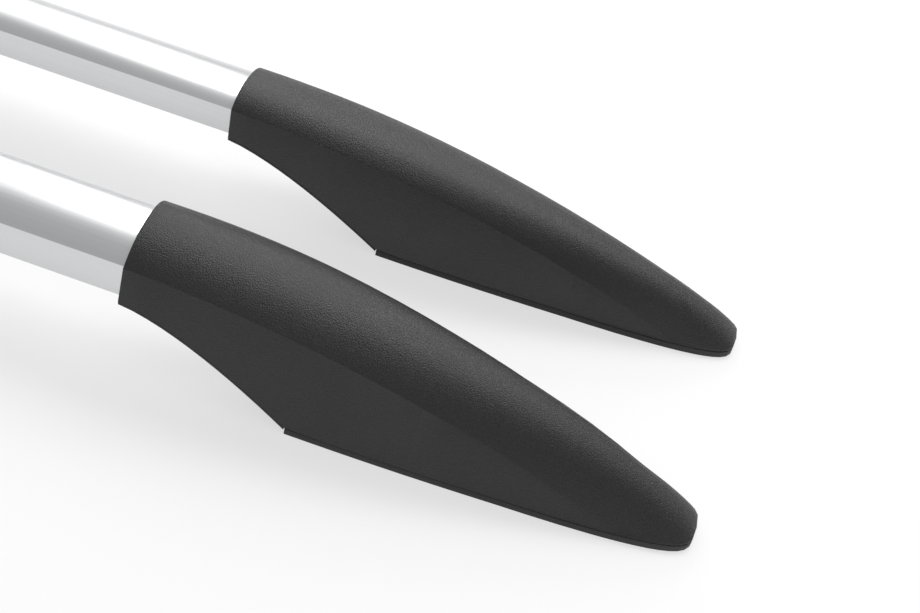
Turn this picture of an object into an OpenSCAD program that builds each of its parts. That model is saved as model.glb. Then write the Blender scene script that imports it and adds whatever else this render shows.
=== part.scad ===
// Pair of roof rails, left and right, standing on their soles.
// X runs along the rails, Y across the pair, Z up. The origin is on the floor, at the middle of the pair.
// A foot is drawn with u running from its mouth to its nose, v across it and z up, for the rail at minus Y
// and the end at plus X. The other three feet are its mirror images.

/* [Rails] */
// Length of a rail from nose to nose
rail_l = 1500; // [1000:10:2200]
// Distance between the middles of the two rails
rail_gap = 146; // [100:1:400]
// How far the body leans inboard for each mm of height
lean = 0.1; // [0:0.01:0.2]
// How much the crown rises inboard for each mm of width
cross_fall = 0.09; // [0:0.01:0.15]

/* [Bar] */
// Half the width of the bar at its crown edges
bar_half_w = 21.4; // [18:0.1:23]
// Height of the bar's side walls
bar_side_h = 16.8; // [14:0.1:17]
// Rise of the bar's crown over its side walls
bar_rise = 6.5; // [3:0.1:6.8]
// Wall of the extrusion
bar_wall = 1.8; // [1.2:0.1:3]
// How far the bar reaches into each foot
bar_seat = 45; // [30:1:50]
// Inner radius of a screw port
port_r = 2.1; // [1.5:0.1:3]

/* [Foot] */
// Length of a foot from mouth to nose
foot_l = 300; // [260:5:360]
// Distance from the mouth to the heel
heel_u = 96; // [80:1:110]
// Height of the arch at the mouth
arch_h = 45; // [35:1:60]
// Height of the mouth from the arch to the crown's edge
mouth_side_h = 20.5; // [18:0.5:26]
// Rise of the crown over its edge at the mouth
mouth_rise = 9.5; // [8:0.5:14]
// Half the width of the mouth at the crown's edge
mouth_half_w = 24.6; // [23:0.1:30]
// How much wider each side is at its foot than at the crown's edge
draft = 2; // [0:0.1:4]
// Wall of the shell
shell_wall = 2.5; // [1.5:0.1:3]
// Length of the solid nose
nose_l = 20; // [14:1:30]

/* [Cover and gasket] */
// Thickness of the arch cover
cover_t = 1.5; // [1:0.1:3]
// Thickness of the sole gasket
gasket_t = 4; // [2:0.1:8]
// How far the gasket stands proud round the nose
gasket_lip = 0.6; // [0:0.1:1.5]
// Gap at a seam between two pieces
seam = 0.2; // [0.1:0.05:0.5]

/* [Bracket and screws] */
// Thickness of the bracket's base pad
pad_t = 6; // [4:0.5:10]
// Length of the base pad
pad_l = 120; // [105:1:130]
// Width of the base pad
pad_w = 34; // [24:1:38]
// Distance between the two mounting holes
hole_pitch = 44; // [40:2:56]
// Radius of a mounting hole
hole_r = 4; // [3:0.5:5]
// Radius of the opening in the gasket under a mounting hole
gasket_hole_r = 8; // [6:0.5:10]
// Thickness of the bracket's upright web
web_t = 8; // [5:0.5:12]
// Width of the spigot inside the bar
spigot_w = 26; // [16:1:28]
// Height of the spigot inside the bar
spigot_h = 10; // [7:0.5:12]
// Radius of a bar screw's shank
screw_r = 3; // [2:0.5:3.5]
// Height of a bar screw's head
screw_head_h = 3; // [2:0.5:3.5]
// Distance between the two bar screws
screw_pitch = 14; // [13:1:16]
// Distance from the bar's end to the nearer bar screw
screw_edge = 7; // [6.5:0.5:8]

/* [Hidden] */

black = [0.16, 0.16, 0.16];
rubber = [0.22, 0.22, 0.22];
alloy = [0.82, 0.83, 0.84];
steel = [0.6, 0.6, 0.62];
fit = 0.1;
crown_power = 2.6;
edge_end = 0.885;
edge_rise = 1.2;
cavity_rise = 0.9;
nose_rise = 1.4;
crown_steps = 14;
arch_power = 1.5;
bar_lift = 0.1;
mouth_x = rail_l / 2 - foot_l;
bar_z = arch_h + cover_t + seam + bar_lift;
cover_end_u = heel_u - 4;
gasket_u = cover_end_u + 0.5;
shell_floor = gasket_t + seam;
cavity_end = foot_l - nose_l;
pad_u = heel_u + 12;
pad_z = gasket_t + seam;
roll = atan(cross_fall);

// Stations along a foot, closer together where the nose turns down
stations = [
    for (k = [0 : 7]) k / 8 * cover_end_u,
    for (k = [0 : 10]) cover_end_u + (cavity_end - 30 - cover_end_u) * k / 10,
    for (k = [1 : 4]) cavity_end - 30 + 7.5 * k,
    for (k = [1 : 6]) cavity_end + nose_l * sin(90 * k / 6)
];
last = len(stations) - 1;
hollow_last = last - 6;

// Share of the way from mouth to nose, and a rounded fall that starts flat and ends steep
function share(u) = u / foot_l;
function fall(x, power) = pow(max(0, 1 - pow(min(1, max(0, x)), power)), 1 / power);

// Underside of the arch, from the mouth down to the heel
function arch(u) = arch_h * (1 - pow(min(1, u / heel_u), arch_power));
// Lower rim of the shell, over the cover along the arch and over the gasket along the sole
function rim_z(u) = max(shell_floor, arch(u) + cover_t + seam);
// Half width at the crown's edge
function edge_w(u) = max(0.8, (mouth_half_w + 1.4 * sin(180 * min(1, share(u) * 1.5))) * fall(share(u), 4.2));
// Half width at the shell's foot
function rim_w(u) = edge_w(u) + draft * max(0, 1 - pow(share(u), 4));
// Height of the crown's edge, which runs down to the sole before the nose
function edge_fall(x) = 1 - pow(min(1, x / edge_end), 2.1);
function edge_z(u) =
    max(shell_floor + edge_rise, shell_floor + (arch_h + mouth_side_h - shell_floor) * edge_fall(share(u)));
// Height of the crown along the middle of the foot
function top_z(u) = shell_floor + nose_rise
    + (arch_h + mouth_side_h + mouth_rise - shell_floor - nose_rise) * pow(1 - pow(share(u), 1.8), 0.75);
// The crown's fall fades out as its edge nears the sole, and the rim's towards the heel
function crown_turn(u) = min(1, (edge_z(u) - shell_floor) / (4 * cross_fall * mouth_half_w + 0.01));
function rim_turn(u) = max(0, 1 - u / cover_end_u);

// A point of the foot, leaned inboard and turned by a share of the cross fall
function place(u, v, z, turn) = [u, v + lean * z, z + cross_fall * v * turn];

// One row of points over the foot, from the outer rim over the crown to the inner rim
function section(u, inset) =
    let(
        w = edge_w(u) - inset,
        e = inset > 0 ? max(shell_floor + cavity_rise, edge_z(u) - inset * 0.35) : edge_z(u),
        t = top_z(u) - inset,
        r = rim_w(u) - inset
    )
    [
        place(u, -r, rim_z(u), rim_turn(u)),
        for (k = [0 : crown_steps])
            let(s = -cos(180 * k / crown_steps))
            place(u, w * s, e + max(0.3, t - e) * (1 - pow(abs(s), crown_power)), crown_turn(u)),
        place(u, r, rim_z(u), rim_turn(u))
    ];

// Height of the middle of a bar-shaped outline over its floor, with the same lean and cross fall
function bar_point(v, z) = [v + lean * (bar_z + z), bar_z + z + cross_fall * v];
function bar_outline(inset) = [
    bar_point(-bar_half_w - draft * 0.5 + inset, inset),
    for (k = [0 : 2 * crown_steps])
        let(s = -cos(180 * k / (2 * crown_steps)))
        bar_point(
            (bar_half_w - inset) * s,
            bar_side_h - inset * 0.4 + (bar_rise - inset * 0.6) * (1 - pow(abs(s), crown_power))
        ),
    bar_point(bar_half_w + draft * 0.5 - inset, inset)
];

module foot_at(end, side) {
    mirror([end < 0 ? 1 : 0, 0, 0])
        mirror([0, side > 0 ? 1 : 0, 0])
            translate([mouth_x, -rail_gap / 2, 0])
                children();
}

// Triangles across one row of points, from side to side
function section_cap(first, n) = [
    for (j = [0 : (n - 3) / 2])
        each [
            [first + j, first + j + 1, first + n - 1 - j],
            if (j + 1 < n - 2 - j) [first + j + 1, first + n - 2 - j, first + n - 1 - j]
        ]
];

// Hollow shell, one closed skin: outside, inside, rims, mouth, cavity end and nose
module foot_shell() {
    n = crown_steps + 3;
    outer = [for (u = stations) each section(u, 0)];
    inner = [for (k = [0 : hollow_last]) each section(stations[k], shell_wall)];
    base = len(outer);
    outside = [
        for (k = [0 : last - 1])
            for (j = [0 : n - 2])
                each [
                    [k * n + j, (k + 1) * n + j, (k + 1) * n + j + 1],
                    [k * n + j, (k + 1) * n + j + 1, k * n + j + 1]
                ]
    ];
    inside = [
        for (k = [0 : hollow_last - 1])
            for (j = [0 : n - 2])
                each [
                    [base + k * n + j, base + (k + 1) * n + j + 1, base + (k + 1) * n + j],
                    [base + k * n + j, base + k * n + j + 1, base + (k + 1) * n + j + 1]
                ]
    ];
    rims = [
        for (k = [0 : hollow_last - 1])
            each [
                [k * n, base + k * n, base + (k + 1) * n],
                [k * n, base + (k + 1) * n, (k + 1) * n],
                [k * n + n - 1, base + (k + 1) * n + n - 1, base + k * n + n - 1],
                [k * n + n - 1, (k + 1) * n + n - 1, base + (k + 1) * n + n - 1]
            ]
    ];
    mouth = [
        for (j = [0 : n - 2])
            each [
                [j, j + 1, base + j + 1],
                [j, base + j + 1, base + j]
            ]
    ];
    h = hollow_last;
    cavity = section_cap(base + h * n, n);
    step = [
        [h * n, base + h * n, (h + 1) * n],
        [base + h * n, base + h * n + n - 1, (h + 1) * n],
        [base + h * n + n - 1, (h + 1) * n + n - 1, (h + 1) * n],
        [base + h * n + n - 1, h * n + n - 1, (h + 1) * n + n - 1]
    ];
    under = [
        for (k = [h + 1 : last - 1])
            each [
                [k * n, k * n + n - 1, (k + 1) * n + n - 1],
                [k * n, (k + 1) * n + n - 1, (k + 1) * n]
            ]
    ];
    nose = [for (f = section_cap(last * n, n)) [f[2], f[1], f[0]]];
    color(black)
        polyhedron(
            points = concat(outer, inner),
            faces = concat(outside, inside, rims, mouth, cavity, step, under, nose),
            convexity = 6
        );
}

// Thin cover that closes the foot along the arch, from the mouth to the heel
module arch_cover() {
    steps = [for (k = [0 : 12]) cover_end_u * k / 12];
    points = [
        for (u = steps)
            each [
                place_cover(u, -rim_w(u), 0),
                place_cover(u, rim_w(u), 0),
                place_cover(u, rim_w(u), cover_t),
                place_cover(u, -rim_w(u), cover_t)
            ]
    ];
    m = len(steps) - 1;
    sides = [
        for (k = [0 : m - 1])
            for (j = [0 : 3])
                each [
                    [4 * k + j, 4 * k + (j + 1) % 4, 4 * k + 4 + (j + 1) % 4],
                    [4 * k + j, 4 * k + 4 + (j + 1) % 4, 4 * k + 4 + j]
                ]
    ];
    color(black)
        polyhedron(
            points = points,
            faces = concat(sides, [[3, 2, 1, 0]], [[4 * m, 4 * m + 1, 4 * m + 2, 4 * m + 3]]),
            convexity = 4
        );
}

// A point of the cover, which follows the shell's lower rim
function place_cover(u, v, up) = [u, v + lean * rim_z(u), arch(u) + up + cross_fall * v * rim_turn(u)];

// Rubber band under the sole, with an opening under each mounting hole
module sole_gasket() {
    sole = [for (u = stations) if (u > gasket_u) u];
    function sole_w(u) = rim_w(u) + gasket_lip * pow(share(u), 3);
    y = lean * shell_floor;
    color(rubber)
        difference() {
            linear_extrude(height = gasket_t)
                polygon([
                    [gasket_u, y - sole_w(gasket_u)],
                    for (u = sole) [u, y - sole_w(u)],
                    for (k = [len(sole) - 1 : -1 : 0]) [sole[k], y + sole_w(sole[k])],
                    [gasket_u, y + sole_w(gasket_u)]
                ]);
            at_mounting_holes()
                translate([0, 0, -1])
                    cylinder(r = gasket_hole_r, h = gasket_t + 2, $fn = 48);
        }
}

module at_mounting_holes() {
    for (side = [-1, 1])
        translate([pad_u + pad_l / 2 + side * hole_pitch / 2, 0, 0])
            children();
}

// The bar's own directions at the seat, where the spigot and the screws lie
module at_bar_floor() {
    translate([0, lean * bar_z, bar_z])
        rotate([roll, 0, 0])
            children();
}

// Cast bracket: base pad on the gasket, upright web and the spigot that the bar slides over
module foot_bracket() {
    web_top = bar_z + bar_wall + spigot_h / 2;
    web_y = lean * bar_z;
    web_end = pad_u + pad_l / 2 - hole_pitch / 2 - hole_r - 4;
    spigot_z = bar_wall + fit;
    color(alloy)
        difference() {
            union() {
                translate([pad_u, -pad_w / 2, pad_z])
                    cube([pad_l, pad_w, pad_t]);
                translate([0, web_y + web_t / 2, 0])
                    rotate([90, 0, 0])
                        linear_extrude(height = web_t)
                            polygon([
                                [bar_seat + 1, web_top - spigot_h / 2 + 2],
                                [bar_seat + 1, web_top + spigot_h / 2 - 2],
                                [pad_u + 12, web_top - 8],
                                [web_end - 8, pad_z + pad_t + 12],
                                [web_end, pad_z + 1],
                                [pad_u, pad_z + 1],
                                [pad_u, pad_z + pad_t + 4]
                            ]);
                at_bar_floor()
                    translate([0, -spigot_w / 2, spigot_z])
                        cube([bar_seat + 8, spigot_w, spigot_h]);
            }
            at_mounting_holes()
                translate([0, 0, pad_z - 1])
                    cylinder(r = hole_r, h = pad_t + 2, $fn = 48);
            at_screws()
                cylinder(r = screw_r + fit, h = spigot_z + spigot_h - 2, $fn = 32);
        }
}

module at_screws() {
    for (k = [0, 1])
        at_bar_floor()
            translate([bar_seat - screw_edge - k * screw_pitch, 0, 0])
                children();
}

// Two screws from below, through the bar's floor into the spigot
module bar_screws() {
    color(steel)
        at_screws()
            union() {
                translate([0, 0, -fit - screw_head_h])
                    cylinder(r = 2 * screw_r, h = screw_head_h, $fn = 32);
                translate([0, 0, -fit - 0.5])
                    cylinder(r = screw_r, h = bar_wall + spigot_h - 2, $fn = 32);
            }
}

// Hollow extrusion with a port for a self-tapping screw in each lower corner
module bar(side) {
    l = rail_l - 2 * foot_l + 2 * bar_seat;
    color(alloy)
        mirror([0, side > 0 ? 1 : 0, 0])
            difference() {
                translate([-l / 2, -rail_gap / 2, 0])
                    rotate([90, 0, 90])
                        linear_extrude(height = l)
                            difference() {
                                polygon(bar_outline(0));
                                difference() {
                                    polygon(bar_outline(bar_wall));
                                    for (s = [-1, 1])
                                        translate(port_centre(s))
                                            circle(r = port_r + bar_wall * 0.7, $fn = 32);
                                }
                                for (s = [-1, 1])
                                    translate(port_centre(s))
                                        circle(r = port_r, $fn = 32);
                            }
                for (end = [0, 1])
                    mirror([end, 0, 0])
                        translate([mouth_x, -rail_gap / 2, 0])
                            at_screws()
                                translate([0, 0, -1])
                                    cylinder(r = screw_r + fit, h = bar_wall + 2, $fn = 32);
            }
}

function port_centre(s) =
    bar_point(s * (bar_half_w - bar_wall - port_r * 0.9), bar_wall + port_r * 0.9);

bar(-1);  // bar_left
bar(1);  // bar_right
foot_at(1, -1) foot_shell();  // foot_shell_left_front
foot_at(-1, -1) foot_shell();  // foot_shell_left_rear
foot_at(1, 1) foot_shell();  // foot_shell_right_front
foot_at(-1, 1) foot_shell();  // foot_shell_right_rear
foot_at(1, -1) arch_cover();  // arch_cover_left_front
foot_at(-1, -1) arch_cover();  // arch_cover_left_rear
foot_at(1, 1) arch_cover();  // arch_cover_right_front
foot_at(-1, 1) arch_cover();  // arch_cover_right_rear
foot_at(1, -1) sole_gasket();  // sole_gasket_left_front
foot_at(-1, -1) sole_gasket();  // sole_gasket_left_rear
foot_at(1, 1) sole_gasket();  // sole_gasket_right_front
foot_at(-1, 1) sole_gasket();  // sole_gasket_right_rear
foot_at(1, -1) foot_bracket();  // foot_bracket_left_front
foot_at(-1, -1) foot_bracket();  // foot_bracket_left_rear
foot_at(1, 1) foot_bracket();  // foot_bracket_right_front
foot_at(-1, 1) foot_bracket();  // foot_bracket_right_rear
foot_at(1, -1) bar_screws();  // bar_screws_left_front
foot_at(-1, -1) bar_screws();  // bar_screws_left_rear
foot_at(1, 1) bar_screws();  // bar_screws_right_front
foot_at(-1, 1) bar_screws();  // bar_screws_right_rear
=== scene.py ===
"""Finish, stage, light and camera for a pair of roof rails with moulded feet."""
import math

import bpy
from bpy.props import FloatProperty, PointerProperty, StringProperty
from mathutils import Matrix, Vector


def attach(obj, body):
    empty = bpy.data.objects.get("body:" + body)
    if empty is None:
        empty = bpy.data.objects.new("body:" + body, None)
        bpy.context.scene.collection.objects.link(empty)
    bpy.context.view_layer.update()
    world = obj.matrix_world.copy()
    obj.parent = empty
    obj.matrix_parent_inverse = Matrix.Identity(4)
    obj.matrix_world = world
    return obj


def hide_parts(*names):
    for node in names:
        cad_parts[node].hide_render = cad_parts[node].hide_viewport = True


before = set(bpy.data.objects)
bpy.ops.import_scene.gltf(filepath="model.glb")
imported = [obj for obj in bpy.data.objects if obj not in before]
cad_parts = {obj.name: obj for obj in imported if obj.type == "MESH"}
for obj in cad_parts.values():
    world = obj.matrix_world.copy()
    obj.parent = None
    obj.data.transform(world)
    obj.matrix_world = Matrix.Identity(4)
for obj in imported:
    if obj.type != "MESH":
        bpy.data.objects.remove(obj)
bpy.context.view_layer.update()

bl_info = {
    "name": "Roof Rail Finish",
    "version": (1, 0, 0),
    "blender": (4, 5, 0),
    "location": "View3D > Sidebar > Rails",
    "description": "Moulded, anodised and rubber finishes for a pair of roof rails",
    "category": "Object",
}

MM = 0.001
RAILS = ("left", "right")
ENDS = ("front", "rear")
FEET = [f"{rail}_{end}" for rail in RAILS for end in ENDS]

# Points closer than this are one point of a surface, and faces that turn by less are one flat face
WELD_MM = 0.004
FLAT_DEG = 0.4
# Edges sharper than this stay crisp in the shading
CRISP_DEG = 38
EDGE_SEGMENTS = 3

# Sockets of the Mix node when it mixes colours, whose names it shares with other types
MIX_FACTOR, MIX_A, MIX_B, MIX_RESULT = 0, 6, 7, 2
PATCH_MM = 40
FOOT_HIGH_COLOUR = "#222222"

# How much of the floor's brightness is plain white, which thins the shadows as in the photograph
WHITE_SHARE = 0.62
FLOOR_SIZE = 30
WORLD_STRENGTH = 0.48
# Each softbox: its place, the point it is aimed at, its width and height in metres, and its power in watts
LAMPS = {
    "softbox_top": ((0.9, 1.1, 1.7), (0.5, 0, 0), (1.6, 0.9), 30),
    "softbox_back": ((-0.4, 1.6, 1.2), (0.4, 0, 0), (1.4, 0.6), 15),
}

# The photograph's view, worked out from the corners of the two near feet; angles are in degrees
IMAGE_W = 920
SENSOR_MM = 36.0
CAMERA = {
    "turn": 5.1,
    "rise": 43.1,
    "roll": 15.7,
    "focal_px": 1494.0,
    "distance": 0.782,
    "target": (0.601, -0.004, 0.03),
}


def linear(hex_colour):
    """An sRGB hex colour as the linear colour that shaders take."""
    values = [int(hex_colour[i:i + 2], 16) / 255 for i in (1, 3, 5)]
    return [v / 12.92 if v <= 0.04045 else ((v + 0.055) / 1.055) ** 2.4 for v in values] + [1.0]


def add_node(tree, kind, settings=None, **links):
    """Add a node, set its properties and sockets, and link outputs into its named inputs."""
    node = tree.nodes.new(kind)
    for name, value in (settings or {}).items():
        if hasattr(node, name):
            setattr(node, name, value)
        else:
            node.inputs[name].default_value = value
    for name, output in links.items():
        tree.links.new(output, node.inputs[name])
    return node


def new_material(name):
    """An empty node material with its output node."""
    material = bpy.data.materials.new(name)
    material.use_nodes = True
    material.node_tree.nodes.clear()
    output = add_node(material.node_tree, "ShaderNodeOutputMaterial")
    return material, material.node_tree, output


def add_tint(tree, factor, low, high):
    """A colour that moves between two hex colours with a factor."""
    tint = add_node(tree, "ShaderNodeMix", {"data_type": "RGBA"})
    tint.inputs[MIX_A].default_value = linear(low)
    tint.inputs[MIX_B].default_value = linear(high)
    tree.links.new(factor, tint.inputs[MIX_FACTOR])
    return tint.outputs[MIX_RESULT]


def add_surface(tree, output, settings, rough, bump):
    """The shader with its roughness and bump, linked to the material's output."""
    shader = add_node(tree, "ShaderNodeBsdfPrincipled", settings,
                      Roughness=rough.outputs["Result"], Normal=bump.outputs["Normal"])
    tree.links.new(shader.outputs["BSDF"], output.inputs["Surface"])
    return shader


def moulded_abs(name, grain_mm, grain_height, roughness, colour, colour_high):
    """ABS moulded in a spark-eroded tool: a fine even grain that breaks highlights into speckle."""
    material, tree, output = new_material(name)
    place = add_node(tree, "ShaderNodeTexCoord").outputs["Object"]
    grain = add_node(tree, "ShaderNodeTexNoise",
                     {"Scale": 1 / (grain_mm * MM), "Detail": 3.0, "Roughness": 0.55}, Vector=place)
    patches = add_node(tree, "ShaderNodeTexNoise",
                       {"Scale": 1 / (PATCH_MM * MM), "Detail": 2.0}, Vector=place)
    # Noise keeps near its middle, so it is spread over the whole range before it is used
    pits = add_node(tree, "ShaderNodeMapRange",
                    {"From Min": 0.36, "From Max": 0.64}, Value=grain.outputs["Fac"])
    sheen = add_node(tree, "ShaderNodeMapRange",
                     {"To Min": roughness - 0.05, "To Max": roughness + 0.07},
                     Value=patches.outputs["Fac"])
    bump = add_node(tree, "ShaderNodeBump",
                    {"Strength": 0.9, "Distance": grain_height * MM}, Height=pits.outputs["Result"])
    shader = add_surface(tree, output, {"IOR": 1.53}, sheen, bump)
    tree.links.new(add_tint(tree, pits.outputs["Result"], colour, colour_high), shader.inputs["Base Color"])
    return material


def brushed_anodised(name):
    """Aluminium brushed along its length and clear anodised: long faint lines and a soft wide highlight."""
    material, tree, output = new_material(name)
    place = add_node(tree, "ShaderNodeTexCoord").outputs["Object"]
    # Brush lines are about 0.3 mm apart and run for decimetres along X, coarser than real ones so they show
    stretch = add_node(tree, "ShaderNodeMapping", {"Scale": (4.0, 3200.0, 3200.0)}, Vector=place)
    lines = add_node(tree, "ShaderNodeTexNoise",
                     {"Scale": 1.0, "Detail": 4.0}, Vector=stretch.outputs["Vector"])
    rough = add_node(tree, "ShaderNodeMapRange",
                     {"To Min": 0.27, "To Max": 0.38}, Value=lines.outputs["Fac"])
    bump = add_node(tree, "ShaderNodeBump",
                    {"Strength": 0.25, "Distance": 0.02 * MM}, Height=lines.outputs["Fac"])
    shader = add_surface(tree, output, {"Metallic": 1.0}, rough, bump)
    tree.links.new(add_tint(tree, lines.outputs["Fac"], "#d2d3d4", "#e2e3e4"), shader.inputs["Base Color"])
    return material


def plain_metal(name, colour, roughness, grain_mm):
    """Cast aluminium or plated steel: a dull grey with a faint grain."""
    material, tree, output = new_material(name)
    place = add_node(tree, "ShaderNodeTexCoord").outputs["Object"]
    grain = add_node(tree, "ShaderNodeTexNoise", {"Scale": 1 / (grain_mm * MM), "Detail": 3.0}, Vector=place)
    rough = add_node(tree, "ShaderNodeMapRange",
                     {"To Min": roughness - 0.06, "To Max": roughness + 0.08}, Value=grain.outputs["Fac"])
    bump = add_node(tree, "ShaderNodeBump",
                    {"Strength": 0.4, "Distance": 0.05 * MM}, Height=grain.outputs["Fac"])
    add_surface(tree, output, {"Metallic": 1.0, "Base Color": linear(colour)}, rough, bump)
    return material


def white_stage(name):
    """Matte white paper sweep, plain white to the camera and in reflections, which keeps soft shadows."""
    material, tree, output = new_material(name)
    paper = add_node(tree, "ShaderNodeBsdfDiffuse", {"Color": linear("#f4f4f4")})
    white = add_node(tree, "ShaderNodeEmission", {"Strength": 1.0})
    ray = add_node(tree, "ShaderNodeLightPath")
    seen = add_node(tree, "ShaderNodeMath", {"operation": "MAXIMUM"})
    tree.links.new(ray.outputs["Is Camera Ray"], seen.inputs[0])
    tree.links.new(ray.outputs["Is Glossy Ray"], seen.inputs[1])
    share = add_node(tree, "ShaderNodeMath", {"operation": "MULTIPLY"})
    tree.links.new(seen.outputs["Value"], share.inputs[0])
    share.inputs[1].default_value = WHITE_SHARE
    blend = add_node(tree, "ShaderNodeMixShader")
    tree.links.new(share.outputs["Value"], blend.inputs[0])
    tree.links.new(paper.outputs["BSDF"], blend.inputs[1])
    tree.links.new(white.outputs["Emission"], blend.inputs[2])
    tree.links.new(blend.outputs["Shader"], output.inputs["Surface"])
    return material


def dress(node, material):
    """Give a frame node its material."""
    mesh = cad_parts[node].data
    mesh.materials.clear()
    mesh.materials.append(material)


def smooth_copy(node, name, material, edge_mm, angle):
    """Stand a smoothly shaded copy with softened edges in for a frame node."""
    piece = bpy.data.objects.new(name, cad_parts[node].data.copy())
    bpy.context.scene.collection.objects.link(piece)
    bpy.ops.object.select_all(action="DESELECT")
    bpy.context.view_layer.objects.active = piece
    piece.select_set(True)
    bpy.ops.object.mode_set(mode="EDIT")
    bpy.ops.mesh.select_all(action="SELECT")
    bpy.ops.mesh.remove_doubles(threshold=WELD_MM * MM)
    bpy.ops.mesh.dissolve_limited(angle_limit=math.radians(FLAT_DEG))
    bpy.ops.object.mode_set(mode="OBJECT")
    bevel = piece.modifiers.new("edges", "BEVEL")
    bevel.width = edge_mm * MM
    bevel.segments = EDGE_SEGMENTS
    bevel.limit_method = "ANGLE"
    bevel.angle_limit = math.radians(angle)
    bpy.ops.object.modifier_apply(modifier="edges")
    bpy.ops.object.mode_set(mode="EDIT")
    bpy.ops.mesh.select_all(action="SELECT")
    bpy.ops.mesh.quads_convert_to_tris()
    bpy.ops.object.mode_set(mode="OBJECT")
    bpy.ops.object.shade_smooth_by_angle(angle=math.radians(CRISP_DEG))
    piece.data.materials.clear()
    piece.data.materials.append(material)
    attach(piece, "root")
    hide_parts(node)


class RailSettings(bpy.types.PropertyGroup):
    """Sizes and colours of the finishes."""
    grain: FloatProperty(
        name="Grain", description="Grain of the moulded feet in mm", default=0.7, min=0.1, max=3)
    foot_colour: StringProperty(
        name="Foot colour", description="Colour of the moulded feet", default="#0f0f0f")
    edge: FloatProperty(
        name="Edge", description="Rounding of moulded edges in mm", default=0.5, min=0.1, max=2)


class RAILS_OT_feet(bpy.types.Operator):
    """Dress the moulded shells and arch covers"""
    bl_idname = "rails.feet"
    bl_label = "Dress the Feet"

    def execute(self, context):
        settings = context.scene.rail_settings
        skin = moulded_abs("grained_moulded_abs", settings.grain, 0.16, 0.44,
                           settings.foot_colour, FOOT_HIGH_COLOUR)
        for foot in FEET:
            smooth_copy(f"foot_shell_{foot}", f"shell_{foot}", skin, settings.edge, 30)
            smooth_copy(f"arch_cover_{foot}", f"cover_{foot}", skin, 0.3, 40)
        return {"FINISHED"}


class RAILS_OT_gaskets(bpy.types.Operator):
    """Dress the rubber soles"""
    bl_idname = "rails.gaskets"
    bl_label = "Dress the Soles"

    def execute(self, context):
        sole = moulded_abs("moulded_epdm_rubber", 1.2, 0.05, 0.6, "#242424", "#2c2c2c")
        for foot in FEET:
            smooth_copy(f"sole_gasket_{foot}", f"sole_{foot}", sole, 0.4, 40)
        return {"FINISHED"}


class RAILS_OT_metal(bpy.types.Operator):
    """Dress the bars, brackets and screws"""
    bl_idname = "rails.metal"
    bl_label = "Dress the Metal"

    def execute(self, context):
        anodised = brushed_anodised("brushed_anodised_aluminium")
        cast = plain_metal("as_cast_aluminium", "#b4b5b6", 0.5, 1.5)
        plated = plain_metal("zinc_plated_steel", "#a9abaf", 0.35, 0.8)
        for rail in RAILS:
            smooth_copy(f"bar_{rail}", f"extrusion_{rail}", anodised, 0.7, 25)
        for foot in FEET:
            dress(f"foot_bracket_{foot}", cast)
            dress(f"bar_screws_{foot}", plated)
        return {"FINISHED"}


def add_lamp(name, place, aim, size, power):
    """A rectangular softbox at a place, aimed at a point."""
    data = bpy.data.lights.new(name, "AREA")
    data.shape = "RECTANGLE"
    data.size, data.size_y = size
    data.energy = power
    lamp = bpy.data.objects.new(name, data)
    bpy.context.scene.collection.objects.link(lamp)
    lamp.location = place
    lamp.rotation_euler = (Vector(aim) - Vector(place)).to_track_quat("-Z", "Y").to_euler()


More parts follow.
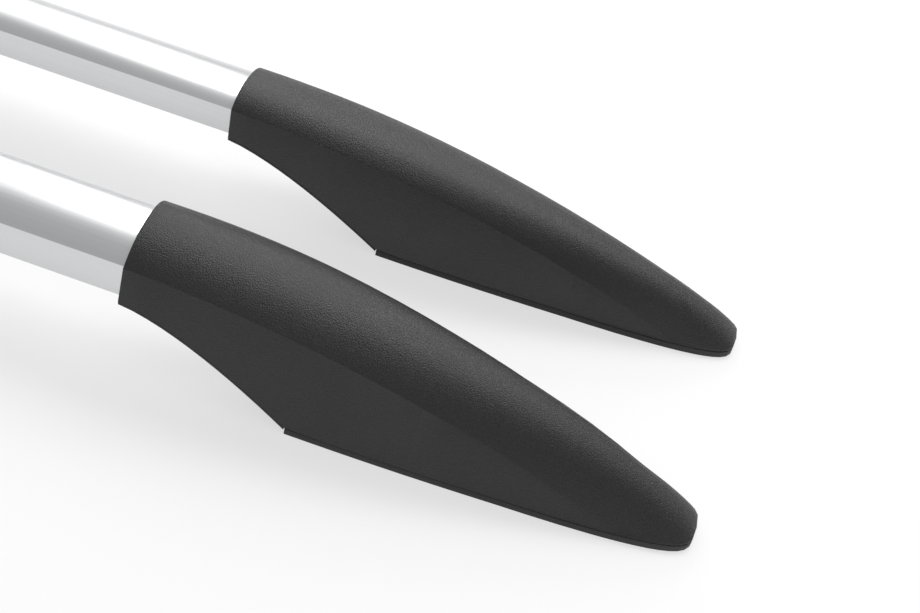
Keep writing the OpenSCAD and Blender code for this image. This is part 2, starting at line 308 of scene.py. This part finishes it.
class RAILS_OT_stage(bpy.types.Operator):
    """Set the floor, the soft light and the camera of the photograph"""
    bl_idname = "rails.stage"
    bl_label = "Set the Stage"

    def execute(self, context):
        bpy.ops.object.select_all(action="DESELECT")
        bpy.ops.mesh.primitive_plane_add(size=FLOOR_SIZE, location=(0, 0, 0))
        floor = context.object
        floor.name = "floor"
        floor.data.materials.append(white_stage("white_paper_sweep"))
        world = bpy.data.worlds.new("studio")
        world.use_nodes = True
        sky = world.node_tree.nodes["Background"]
        sky.inputs["Color"].default_value = (1, 1, 1, 1)
        sky.inputs["Strength"].default_value = WORLD_STRENGTH
        context.scene.world = world
        for name, lamp in LAMPS.items():
            add_lamp(name, *lamp)
        context.scene.view_settings.view_transform = "Standard"
        self.set_camera(context.scene)
        return {"FINISHED"}

    def set_camera(self, scene):
        """Camera at the photograph's view: turned, raised and rolled about a point by the feet."""
        turn, rise, roll = (math.radians(CAMERA[key]) for key in ("turn", "rise", "roll"))
        look = Vector((-math.sin(turn) * math.cos(rise), math.cos(turn) * math.cos(rise), -math.sin(rise)))
        right = Vector((math.cos(turn), math.sin(turn), 0))
        up = right.cross(look)
        side = right * math.cos(roll) + up * math.sin(roll)
        above = up * math.cos(roll) - right * math.sin(roll)
        data = bpy.data.cameras.new("photo_view")
        data.sensor_width = SENSOR_MM
        data.lens = CAMERA["focal_px"] * data.sensor_width / IMAGE_W
        data.clip_start = 0.01
        camera = bpy.data.objects.new("photo_view", data)
        scene.collection.objects.link(camera)
        place = Vector(CAMERA["target"]) - look * CAMERA["distance"]
        axes = Matrix((side, above, -look)).transposed().to_4x4()
        camera.matrix_world = Matrix.Translation(place) @ axes
        scene.camera = camera


class RAILS_PT_panel(bpy.types.Panel):
    """Sidebar panel with the rails' finishes"""
    bl_idname = "RAILS_PT_panel"
    bl_label = "Roof Rails"
    bl_space_type = "VIEW_3D"
    bl_region_type = "UI"
    bl_category = "Rails"

    def draw(self, context):
        settings = context.scene.rail_settings
        for name in ("grain", "foot_colour", "edge"):
            self.layout.prop(settings, name)
        for step in STEPS:
            self.layout.operator(step.bl_idname)


STEPS = (RAILS_OT_feet, RAILS_OT_gaskets, RAILS_OT_metal, RAILS_OT_stage)
CLASSES = (RailSettings, *STEPS, RAILS_PT_panel)


def register():
    for item in CLASSES:
        bpy.utils.register_class(item)
    bpy.types.Scene.rail_settings = PointerProperty(type=RailSettings)


def unregister():
    del bpy.types.Scene.rail_settings
    for item in reversed(CLASSES):
        bpy.utils.unregister_class(item)


def main():
    register()
    for step in STEPS:
        group, name = step.bl_idname.split(".")
        getattr(getattr(bpy.ops, group), name)()


if __name__ == "__main__":
    main()
